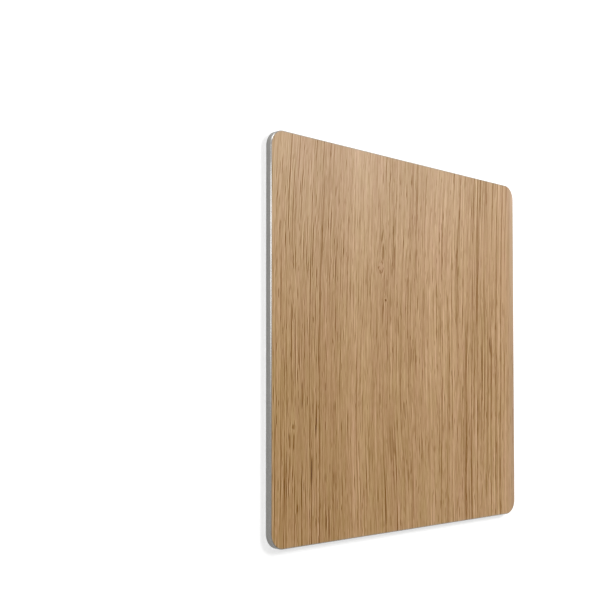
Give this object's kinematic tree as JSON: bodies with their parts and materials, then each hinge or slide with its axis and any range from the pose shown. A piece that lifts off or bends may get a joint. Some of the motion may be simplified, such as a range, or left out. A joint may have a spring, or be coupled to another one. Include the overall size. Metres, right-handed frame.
{
  "type": "aluminium composite panel",
  "caption": "Flat aluminium composite panel: two thin metal skins on a solid grey core, oak wood-grain face, rounded corners, bevelled bright edge.",
  "frame": {"origin": "middle of the rear face, on the surface that the panel lies on", "axes": "+X across the wood grain, +Y along the grain towards the edge that is uppermost in the picture, +Z out of the decor face"},
  "size_m": [0.2, 0.2, 0.004],
  "materials": {
    "service_coated_aluminium": "rolled sheet, thin light grey service coat on the rear, bare metal on the cut edge",
    "bond_film": "milky adhesive film, seen only as a hairline at the edge",
    "core_plastic": "routed mid-grey plastic, matt, with fine cutter marks",
    "aluminium": "bare metal at the bevel and the cut edge, fine marks along the edge",
    "oak_decor": "printed light oak, straight grain along Y, satin with a fine pore emboss"
  },
  "bodies": {
    "root": {"rear_skin": "service_coated_aluminium", "rear_bond_film": "bond_film", "core": "core_plastic", "face_bond_film": "bond_film", "face_skin": "aluminium", "decor_film": "oak_decor"}
  },
  "joints": []
}
